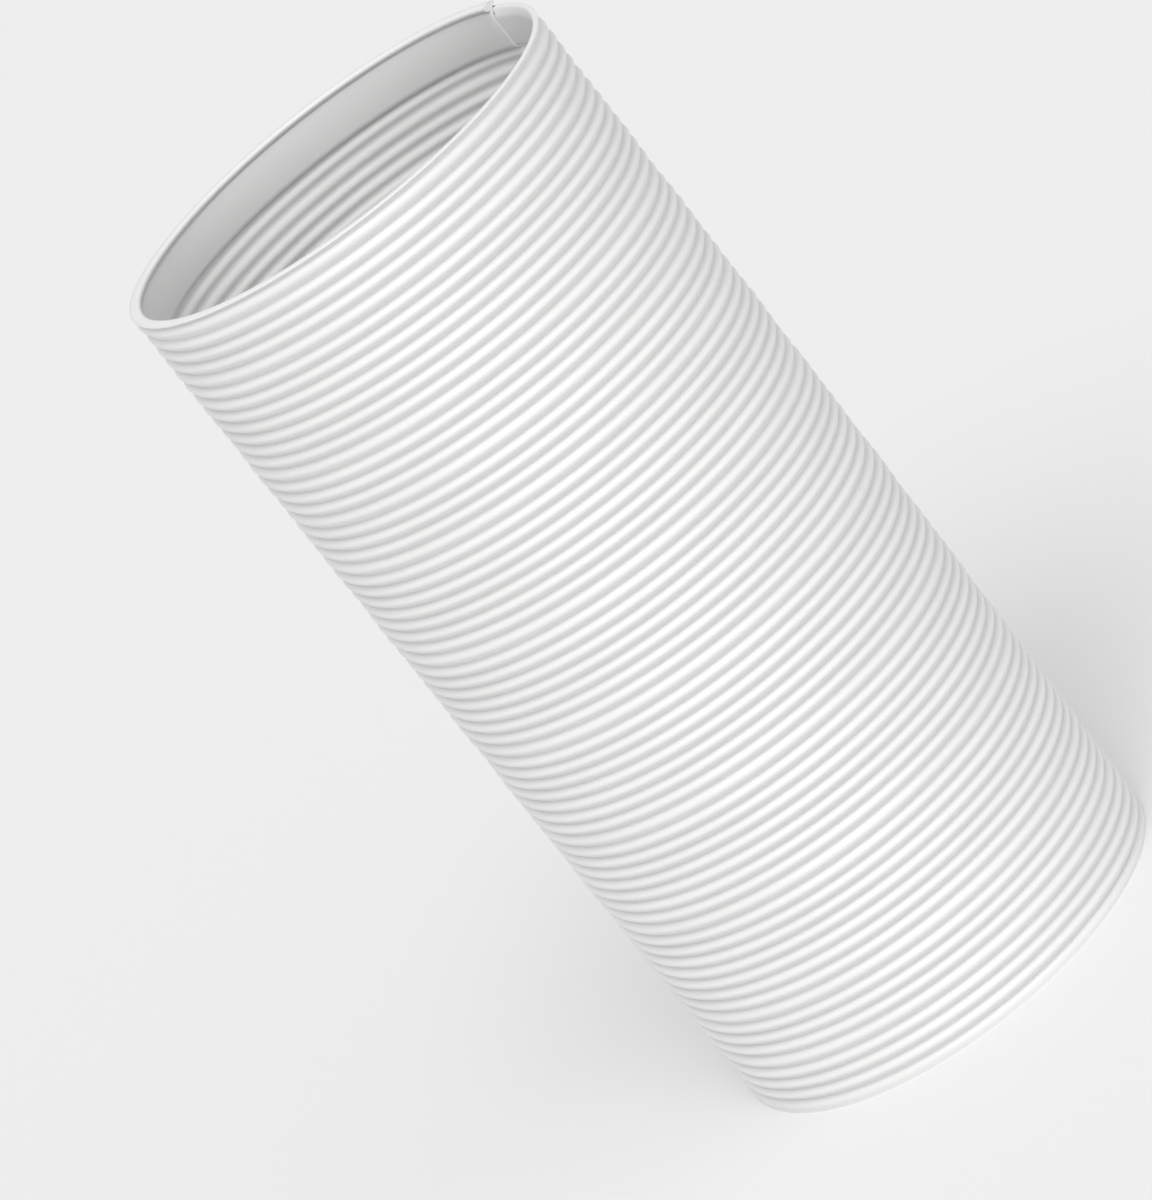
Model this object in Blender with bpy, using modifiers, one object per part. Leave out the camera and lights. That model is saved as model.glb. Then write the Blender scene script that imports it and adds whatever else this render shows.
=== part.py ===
"""Compressed exhaust hose of a portable air conditioner: one plastic strip wound left-handed into a ribbed tube.

Metres, +Z up. The hose stands on its cut lower end, with the origin at the middle of that end.
"""

import math

import bmesh
import bpy

# Driving dimensions of the wound wall
CREST_RADIUS = 0.075       # outside of the ribs, half of the nominal 150 mm
RIB_DEPTH = 0.0014         # from an outer rib's crest to the groove beside it
WALL_AT_GROOVE = 0.0012    # thickness where an outer groove backs an inner ridge
INNER_RIDGE = 0.0008       # how far an inner ridge stands into the bore
PITCH = 0.00455            # one turn of the strip, as pushed together
WALL_HEIGHT = 0.3135       # flat cut end to flat cut end

# Driving dimensions of the last turn, whose free web lies flat inside the mouth
WEB_HEIGHT = 0.0145        # flat band below the wall's upper end
WEB_STEP_IN = 0.0011       # the web's cut end stands this far inside the inner ridges
WEB_START_IN = 0.0001      # and the web's start this far
LIP_RISE = 0.0025          # the rolled lip's height over the wall at the cut end
LIP_START = 0.0003         # and where the lip comes out of the wall
LIP_SET_IN = 0.0003        # the lip's outer side, in from the rib crests
LIP_LAP = 0.0008           # how far the lip's outer side reaches down over the wall
SEAM_AZIMUTH = 25.0        # degrees from +X, where the strip is cut off
SEAM_GAP = 1.5             # degrees left open between the cut end and the turn below

FACETS = 20                # flats round the hose

GROOVE_RADIUS = CREST_RADIUS - RIB_DEPTH
RIDGE_RADIUS = GROOVE_RADIUS - WALL_AT_GROOVE
HOLLOW_RADIUS = RIDGE_RADIUS + INNER_RIDGE
FUSE = 0.0001              # overlap that joins the web to the wall


def clear_scene():
    for obj in list(bpy.data.objects):
        bpy.data.objects.remove(obj)


def new_collection(name):
    collection = bpy.data.collections.new(name)
    bpy.context.scene.collection.children.link(collection)
    return collection


def white_plastic():
    material = bpy.data.materials.new("white_polypropylene")
    material.use_nodes = True
    shader = material.node_tree.nodes["Principled BSDF"]
    shader.inputs["Base Color"].default_value = (0.86, 0.86, 0.85, 1.0)
    shader.inputs["Roughness"].default_value = 0.42
    shader.inputs["Metallic"].default_value = 0.0
    return material


def zigzag(outer, inner, first, count):
    """Crests and grooves down one side of the wall, from level `first` for `count` half pitches."""
    return [
        ((outer, inner)[step % 2], first - step * PITCH / 2)
        for step in range(count + 1)
    ]


def wall_section():
    """The closed comb section, long enough to be cut flat at both ends."""
    half_pitches = 2 * (math.ceil(WALL_HEIGHT / PITCH) + 3)
    top = WALL_HEIGHT + 2 * PITCH
    outside = zigzag(CREST_RADIUS, GROOVE_RADIUS, top, half_pitches)
    inside = zigzag(HOLLOW_RADIUS, RIDGE_RADIUS, top, half_pitches)
    return outside + inside[::-1]


def wound_wall(collection):
    """The section swept one left-handed turn, so that each rib meets the one above it."""
    section = wall_section()
    mesh = bpy.data.meshes.new("wall_section")
    edges = [(i, (i + 1) % len(section)) for i in range(len(section))]
    mesh.from_pydata([(radius, 0.0, level) for radius, level in section], edges, [])
    obj = bpy.data.objects.new("wound_strip_wall", mesh)
    collection.objects.link(obj)
    screw = obj.modifiers.new("winding", "SCREW")
    screw.axis = "Z"
    screw.angle = 2 * math.pi
    screw.screw_offset = -PITCH
    screw.steps = FACETS
    screw.render_steps = FACETS
    screw.use_merge_vertices = False
    bpy.context.view_layer.update()
    graph = bpy.context.evaluated_depsgraph_get()
    swept = bpy.data.meshes.new_from_object(obj.evaluated_get(graph))
    obj.modifiers.clear()
    obj.data = swept
    close_turns(swept)
    obj.rotation_euler.z = math.radians(SEAM_AZIMUTH)
    bpy.context.view_layer.update()
    return obj


def close_turns(mesh):
    """Joins each turn to the next and closes the step that is left at each end of the winding."""
    body = bmesh.new()
    body.from_mesh(mesh)
    bmesh.ops.remove_doubles(body, verts=body.verts, dist=PITCH / 100)
    open_edges = [edge for edge in body.edges if edge.is_boundary]
    bmesh.ops.holes_fill(body, edges=open_edges, sides=0)
    bmesh.ops.recalc_face_normals(body, faces=body.faces)
    body.to_mesh(mesh)
    body.free()


def trim_cutter(collection):
    """A plain round block whose flat ends are the wall's two cut ends."""
    bpy.ops.mesh.primitive_cylinder_add(
        vertices=4 * FACETS,
        radius=2 * CREST_RADIUS,
        depth=WALL_HEIGHT,
        location=(0.0, 0.0, WALL_HEIGHT / 2),
    )
    return stored_as_cutter(bpy.context.object, "trim_cutter", collection)


def facet_radius(radius, turned):
    """Distance from the axis to a flat side, for an angle turned from one of its corners."""
    facet = 2 * math.pi / FACETS
    return radius * math.cos(facet / 2) / math.cos(turned % facet - facet / 2)


def web_section(share):
    """Outline of the last turn's web and lip, for a share of the turn from its start to its cut end."""
    start_inside = RIDGE_RADIUS - WEB_START_IN
    cut_inside = RIDGE_RADIUS - WEB_STEP_IN
    inside = start_inside + (cut_inside - start_inside) * share
    lip_top = WALL_HEIGHT + LIP_START + (LIP_RISE - LIP_START) * share
    outside = HOLLOW_RADIUS + FUSE
    lip_side = CREST_RADIUS - LIP_SET_IN
    lip_foot = WALL_HEIGHT - LIP_LAP
    return [
        (inside, WALL_HEIGHT - WEB_HEIGHT),
        (inside, lip_top),
        (lip_side, lip_top),
        (lip_side, lip_foot),
        (outside, lip_foot),
        (outside, WALL_HEIGHT - WEB_HEIGHT),
    ]


def mouth_web(collection):
    """The free web of the last turn, lofted because it draws in and climbs as it goes round."""
    gap = math.radians(SEAM_GAP)
    facet = 2 * math.pi / FACETS
    turned = [gap] + [facet * i for i in range(1, FACETS)] + [2 * math.pi - gap]
    body = bmesh.new()
    rings = []
    for angle in turned:
        azimuth = math.radians(SEAM_AZIMUTH) - angle
        ring = []
        for radius, level in web_section(angle / (2 * math.pi)):
            reach = facet_radius(radius, angle)
            ring.append(body.verts.new((reach * math.cos(azimuth), reach * math.sin(azimuth), level)))
        rings.append(ring)
    for ring, following in zip(rings, rings[1:]):
        bmesh.ops.bridge_loops(body, edges=ring_edges(body, ring) + ring_edges(body, following))
    for ring in (rings[0], rings[-1]):
        body.faces.new(ring)
    bmesh.ops.recalc_face_normals(body, faces=body.faces)
    mesh = bpy.data.meshes.new("mouth_web")
    body.to_mesh(mesh)
    body.free()
    obj = bpy.data.objects.new("mouth_web", mesh)
    collection.objects.link(obj)
    return stored_as_cutter(obj, "mouth_web", collection)


def ring_edges(body, ring):
    """The edges round one section, made on first use."""
    edges = []
    for first, second in zip(ring, ring[1:] + ring[:1]):
        edge = body.edges.get((first, second))
        edges.append(edge or body.edges.new((first, second)))
    return edges


def stored_as_cutter(obj, name, collection):
    obj.name = name
    for owner in list(obj.users_collection):
        owner.objects.unlink(obj)
    collection.objects.link(obj)
    obj.hide_render = True
    obj.display_type = "WIRE"
    return obj


def boolean(obj, tool, operation):
    modifier = obj.modifiers.new(tool.name, "BOOLEAN")
    modifier.operation = operation
    modifier.object = tool
    modifier.solver = "EXACT"


def main():
    clear_scene()
    hose = new_collection("exhaust_hose")
    cutters = new_collection("cutters")
    wall = wound_wall(hose)
    wall.data.materials.append(white_plastic())
    boolean(wall, trim_cutter(cutters), "INTERSECT")
    boolean(wall, mouth_web(cutters), "UNION")


main()
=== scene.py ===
"""Looks of the compressed exhaust hose: rounded ribs, the free web inside the mouth, lighting and camera."""

import math

import bmesh
import bpy
import numpy as np
from mathutils import Matrix, Vector


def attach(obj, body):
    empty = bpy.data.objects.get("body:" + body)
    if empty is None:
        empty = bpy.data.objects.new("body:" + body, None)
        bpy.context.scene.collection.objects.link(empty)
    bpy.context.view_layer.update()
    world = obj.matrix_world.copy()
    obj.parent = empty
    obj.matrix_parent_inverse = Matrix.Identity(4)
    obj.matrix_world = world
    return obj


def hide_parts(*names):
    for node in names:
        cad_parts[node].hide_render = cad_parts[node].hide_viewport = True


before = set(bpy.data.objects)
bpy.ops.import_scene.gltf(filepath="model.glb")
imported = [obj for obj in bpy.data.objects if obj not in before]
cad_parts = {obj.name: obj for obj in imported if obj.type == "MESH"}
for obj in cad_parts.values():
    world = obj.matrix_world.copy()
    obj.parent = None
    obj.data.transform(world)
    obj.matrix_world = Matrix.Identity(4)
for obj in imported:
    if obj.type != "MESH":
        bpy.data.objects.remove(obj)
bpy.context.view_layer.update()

# The same winding as in the part's source
CREST_RADIUS = 0.075
PITCH = 0.00455
WALL_HEIGHT = 0.3135
SEAM = math.radians(25.0)

# The winding's turns, counted down from the top, and the gaps between them in mean pitches
FIRST_TURN, LAST_TURN = -2, 75
SHOWN_TURNS = 70
USUAL_GAP, WIDE_GAP = 0.982, 1.1

COLUMNS = 96                # mesh columns round the hose
GROOVE_DEPTH = 0.0018       # set by the photo's tones, not measured
INNER_MEAN = 0.0726
INNER_WAVE = 0.0004
INNER_TOP = WALL_HEIGHT - 0.004

# The last turn's free web and lip inside the mouth
WEB_FOOT = WALL_HEIGHT - 0.0138
WEB_AT_CUT = 0.0713         # inner radius at the cut end
WEB_WIDENS = 0.0008         # how much wider the web is where it starts
WEB_BACK = 0.0725
BEHIND_WEB = 0.0724
LAST_CREST = WALL_HEIGHT + 0.0016
LIP_CREST = WALL_HEIGHT + 0.0034
LIP_CAP = 0.0012            # rounding of the lip's top edge, doubled where it is rolled
CUT_GAP = math.radians(0.15)

# The photograph's camera, fitted to the outlines of the tube and of both rims
CAMERA_RISE = math.radians(21.8785)
CAMERA_ROLL = math.radians(-38.2914)
CAMERA_DISTANCE = 2.13396
CAMERA_AIM = Vector((-0.023318, 0.0, 0.161702))
FOCAL_PIXELS = 6913.69
PHOTO_PIXELS = 1200


def turn_levels():
    """Height of the crest after each whole turn from the top, with the photo's slightly wider gaps.

    The last turn is pressed down on the one below, so its rib is low and close.
    """
    gaps = []
    for turn in range(FIRST_TURN, LAST_TURN):
        wide = turn % 8 == 4 or turn in (0, 16, 64)
        gaps.append(WIDE_GAP if wide else USUAL_GAP)
    gaps = np.array(gaps)
    shown = gaps[-FIRST_TURN:SHOWN_TURNS - FIRST_TURN]
    gaps = gaps * (SHOWN_TURNS / shown.sum())
    levels = WALL_HEIGHT - PITCH * np.concatenate([[0.0], np.cumsum(gaps)])
    turns = np.arange(FIRST_TURN, LAST_TURN + 1, dtype=float)
    levels += WALL_HEIGHT - np.interp(0.0, turns, levels)
    levels[turns == -1] = LAST_CREST
    levels[turns == -2] = LIP_CREST
    return turns, levels


TURNS, LEVELS = turn_levels()


def level_of(turn):
    """Height on the winding, for a number of turns down from the top."""
    return np.interp(turn, TURNS, LEVELS)


def turn_at(level):
    """The reverse of level_of."""
    return np.interp(-level, -LEVELS, TURNS)


def outer_radius(turn, share):
    """A rounded rib with a groove either side, shallower in the last turn and flat at the foot."""
    off = np.abs((turn + 0.5) % 1.0 - 0.5) * 2
    soft = (1 + np.cos(np.pi * off)) / 2
    full = (1 - np.clip(off, 0, 1) ** 2.0) ** 0.8
    depth = GROOVE_DEPTH * (1 - 0.25 * np.clip(1.5 - (turn + share), 0, 1))
    ribbed = CREST_RADIUS - depth * (1 - 0.6 * soft - 0.4 * full)
    foot = np.clip(1 - level_of(turn + share) / 0.0030, 0, 1) ** 0.5
    return ribbed + (CREST_RADIUS - 0.0002 - ribbed) * foot


def inner_radius(turn, share):
    """Low ridges in the bore, and a plain surface behind the web."""
    wave = INNER_MEAN + INNER_WAVE * np.cos(2 * np.pi * turn)
    behind_web = np.clip((level_of(turn + share) - WEB_FOOT - 0.0005) / 0.0015, 0, 1)
    return wave * (1 - behind_web) + BEHIND_WEB * behind_web


def hand_laid(points):
    """The slight unevenness of a pushed-together hose: a barrel, a bow to the side and a wobble."""
    x, y, z = points.T
    share = z / WALL_HEIGHT
    swell = 1 + 0.004 * (np.sin(np.pi * share) - 0.9)
    lean = 0.0004 * np.sin(np.pi * share)
    around = np.arctan2(y, x)
    wobble = 0.00010 * np.sin(3 * around + 60 * share)
    wobble += 0.00008 * np.sin(5 * around - 95 * share)
    radius = np.hypot(x, y)
    scale = swell * (radius + wobble) / radius
    return np.stack([x * scale + lean, y * scale, z], axis=1)


def on_hose(radius, azimuth, level):
    """Points from radii, angles round the axis and heights."""
    return np.stack([radius * np.cos(azimuth), radius * np.sin(azimuth), level], axis=-1)


def make_mesh(name, rows, closed_round, material):
    """A piece from a grid of points: `rows[i][j]`, where i runs round the section."""
    count, columns, _ = rows.shape
    points = hand_laid(rows.reshape(-1, 3))
    faces = []
    for i in range(count):
        below = (i + 1) % count
        for j in range(columns - 1):
            here, under = i * columns + j, below * columns + j
            faces.append((here, here + 1, under + 1, under))
    if not closed_round:
        faces.append([i * columns for i in range(count)])
        faces.append([i * columns + columns - 1 for i in range(count)][::-1])
    mesh = bpy.data.meshes.new(name)
    mesh.from_pydata(points.tolist(), [], faces)
    mesh.validate()
    mesh.materials.append(material)
    obj = bpy.data.objects.new(name, mesh)
    bpy.context.scene.collection.objects.link(obj)
    return obj


def weld(obj, distance=0.00001):
    """Joins each turn to the next and shades the piece smooth."""
    body = bmesh.new()
    body.from_mesh(obj.data)
    bmesh.ops.remove_doubles(body, verts=body.verts, dist=distance)
    bmesh.ops.dissolve_degenerate(body, edges=body.edges, dist=distance)
    bmesh.ops.recalc_face_normals(body, faces=body.faces)
    body.to_mesh(obj.data)
    body.free()
    for polygon in obj.data.polygons:
        polygon.use_smooth = True
    obj.data.set_sharp_from_angle(angle=math.radians(50))


def top_level(share):
    """Top of the lip, for a share of the turn counted from the cut end."""
    return level_of(-1.5 + 1.3 * share)


def lip_growth(share):
    """How far the lip is rolled inwards: fully at the cut end, not at all where it starts."""
    grown = np.clip((1 - share) / 0.75, 0, 1)
    return grown * grown * (3 - 2 * grown)


def lip_cap(share):
    """How far the lip's top edge is set in from the rib crests."""
    return LIP_CAP * (1 + lip_growth(share))


def rib_wall(material):
    """The wound ribs, inside and out, trimmed flat at the foot and rounded over at the mouth."""
    outer_steps = np.array([0.0, 0.14, 0.27, 0.38, 0.46, 0.54, 0.62, 0.73, 0.86])
    inner_steps = np.array([0.0, 0.22, 0.42, 0.62, 0.82])
    whole = np.arange(-1, 73)
    outer_phases = (whole[:, None] + outer_steps[None, :]).ravel()
    inner_phases = (whole[:, None] + inner_steps[None, :]).ravel()[::-1]
    around = np.linspace(0, 2 * np.pi, COLUMNS + 1)
    share = around / (2 * np.pi)
    azimuth = SEAM + around
    rows = []
    crest = level_of(share - 1)
    for rise in (1.0, 0.93, 0.8, 0.6, 0.35):
        radius = CREST_RADIUS - lip_cap(share) * (1 - math.sqrt(1 - rise ** 2))
        level = crest + (top_level(share) - crest) * rise
        rows.append(on_hose(radius, azimuth, level)[None])
    sides = (
        (outer_phases, outer_radius, LIP_CREST),
        (inner_phases, inner_radius, INNER_TOP),
    )
    for phases, radius_of, highest in sides:
        turn = phases[:, None] + share[None, :]
        level = np.clip(level_of(turn), 0.0, highest)
        kept = turn_at(level) - share[None, :]
        radius = radius_of(kept, share[None, :])
        rows.append(on_hose(radius, azimuth, level))
    obj = make_mesh("wound_ribs", np.concatenate(rows), True, material)
    weld(obj)
    return obj


def lip_section(share):
    """Outline of the free web and its rolled lip; share runs from the cut end, down the last turn."""
    inside = WEB_AT_CUT + WEB_WIDENS * share
    top = float(top_level(share))
    crest = float(level_of(share - 1))
    grown = float(lip_growth(share))
    join = CREST_RADIUS - float(lip_cap(share))
    bead = 0.0007 * grown
    thin = 0.0014 * (1 - grown)
    pinch = 0.0002 * grown + 0.0006 * max(0.0, 1 - share / 0.008)
    return [
        (inside + 0.0008, WEB_FOOT),
        (inside + 0.0003, WEB_FOOT + 0.0005),
        (inside, WEB_FOOT + 0.0016),
        (inside, top - 0.0036),
        (inside + pinch * 0.5 + thin * 0.05, top - 0.0029),
        (inside + pinch + thin * 0.15, top - 0.0024),
        (inside - bead * 0.3 + thin * 0.3, top - 0.0019),
        (inside - bead * 0.8 + thin * 0.4, top - 0.0015),
        (inside - bead + thin * 0.6, top - 0.0010),
        (inside - bead * 0.85 + thin * 0.75, top - 0.0006),
        (inside - bead * 0.4 + thin * 0.9, top - 0.0002),
        (inside + 0.0003 + thin, top),
        (max(join, inside + 0.0004 + thin), top - 0.00002),
        (0.0746, (top + crest) / 2 + 0.0001),
        (0.07492, crest),
        (0.0745, crest - 0.0004),
        (0.0736, crest - 0.0008),
        (0.0736, crest - 0.0022),
        (WEB_BACK, crest - 0.0026),
        (WEB_BACK, WEB_FOOT + 0.0006),
        (WEB_BACK - 0.0001, WEB_FOOT),
    ]


def mouth_strip(material):
    """The last turn's free web and lip, from the cut end all the way round to where it starts."""
    turned = np.linspace(0.0, 2 * np.pi - CUT_GAP, 2 * COLUMNS + 1)
    rows = []
    for angle in turned:
        radius, level = np.array(lip_section(angle / (2 * np.pi))).T
        rows.append(on_hose(radius, SEAM + angle, level))
    grid = np.array(rows).transpose(1, 0, 2)
    obj = make_mesh("mouth_strip", grid, False, material)
    weld(obj, 0.000001)
    return obj


def plastic():
    """Satin white plastic with a faint unevenness of colour and surface."""
    material = bpy.data.materials.new("white_plastic")
    material.use_nodes = True
    nodes = material.node_tree.nodes
    links = material.node_tree.links
    shader = nodes["Principled BSDF"]
    shader.inputs["Roughness"].default_value = 0.42
    shader.inputs["Specular IOR Level"].default_value = 0.45
    shader.inputs["Subsurface Weight"].default_value = 0.12
    shader.inputs["Subsurface Radius"].default_value = (1.0, 0.95, 0.9)
    shader.inputs["Subsurface Scale"].default_value = 0.0012
    coord = nodes.new("ShaderNodeTexCoord")
    tint = nodes.new("ShaderNodeTexNoise")
    tint.inputs["Scale"].default_value = 14.0
    tint.inputs["Detail"].default_value = 3.0
    links.new(coord.outputs["Object"], tint.inputs["Vector"])
    ramp = nodes.new("ShaderNodeMix")
    ramp.data_type = "RGBA"
    ramp.inputs["A"].default_value = (0.79, 0.79, 0.785, 1.0)
    ramp.inputs["B"].default_value = (0.83, 0.83, 0.825, 1.0)
    links.new(tint.outputs["Fac"], ramp.inputs["Factor"])
    links.new(ramp.outputs["Result"], shader.inputs["Base Color"])
    fine = nodes.new("ShaderNodeTexNoise")
    fine.inputs["Scale"].default_value = 900.0
    fine.inputs["Detail"].default_value = 2.0
    links.new(coord.outputs["Object"], fine.inputs["Vector"])
    bump = nodes.new("ShaderNodeBump")
    bump.inputs["Strength"].default_value = 0.12
    bump.inputs["Distance"].default_value = 0.0003
    links.new(fine.outputs["Fac"], bump.inputs["Height"])
    links.new(bump.outputs["Normal"], shader.inputs["Normal"])
    return material


def floor():
    mesh = bpy.data.meshes.new("floor")
    half = 14.0
    corners = [(-half, -half, 0), (half, -half, 0), (half, half, 0), (-half, half, 0)]
    mesh.from_pydata(corners, [], [(0, 1, 2, 3)])
    material = bpy.data.materials.new("floor_white")
    material.use_nodes = True
    shader = material.node_tree.nodes["Principled BSDF"]
    shader.inputs["Base Color"].default_value = (0.80, 0.80, 0.80, 1.0)
    shader.inputs["Roughness"].default_value = 0.9
    shader.inputs["Specular IOR Level"].default_value = 0.1
    mesh.materials.append(material)
    obj = bpy.data.objects.new("floor", mesh)
    bpy.context.scene.collection.objects.link(obj)


def sun(name, azimuth, elevation, spread, power):
    """A soft far light: azimuth 0 is behind the camera, 90 to the hose's right."""
    light = bpy.data.lights.new(name, "SUN")
    light.angle = math.radians(spread)
    light.energy = power
    obj = bpy.data.objects.new(name, light)
    a, e = math.radians(azimuth), math.radians(elevation)
    back = Vector((math.sin(a) * math.cos(e), -math.cos(a) * math.cos(e), math.sin(e)))
    obj.rotation_mode = "QUATERNION"
    obj.rotation_quaternion = (-back).to_track_quat("-Z", "Y")
    obj.location = back * 3
    bpy.context.scene.collection.objects.link(obj)


def lighting():
    world = bpy.data.worlds.new("studio")
    world.use_nodes = True
    world.node_tree.nodes["Background"].inputs["Color"].default_value = (1, 1, 1, 1)
    world.node_tree.nodes["Background"].inputs["Strength"].default_value = 0.55
    bpy.context.scene.world = world
    sun("key", -10.0, 58.0, 40.0, 1.6)
    sun("fill", 30.0, 45.0, 60.0, 0.4)
    bpy.context.scene.view_settings.view_transform = "Standard"


def photo_camera():
    """The photograph's camera: a long lens 18 degrees above the hose, rolled 38 degrees."""
    eye = CAMERA_DISTANCE * Vector((0, -math.cos(CAMERA_RISE), math.sin(CAMERA_RISE)))
    ahead = (CAMERA_AIM - eye).normalized()
    level_right = ahead.cross(Vector((0, 0, 1))).normalized()
    level_up = level_right.cross(ahead)
    right = level_right * math.cos(CAMERA_ROLL) + level_up * math.sin(CAMERA_ROLL)
    up = level_up * math.cos(CAMERA_ROLL) - level_right * math.sin(CAMERA_ROLL)
    data = bpy.data.cameras.new("photo_camera")
    data.lens = data.sensor_width * FOCAL_PIXELS / PHOTO_PIXELS
    data.clip_end = 60.0
    obj = bpy.data.objects.new("photo_camera", data)
    turn = Matrix((right, up, -ahead)).transposed().to_4x4()
    obj.matrix_world = Matrix.Translation(eye) @ turn
    bpy.context.scene.collection.objects.link(obj)
    bpy.context.scene.camera = obj


def main():
    material = plastic()
    for piece in (rib_wall(material), mouth_strip(material)):
        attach(piece, "root")
        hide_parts("wound_strip_wall")
    floor()
    lighting()
    photo_camera()


main()
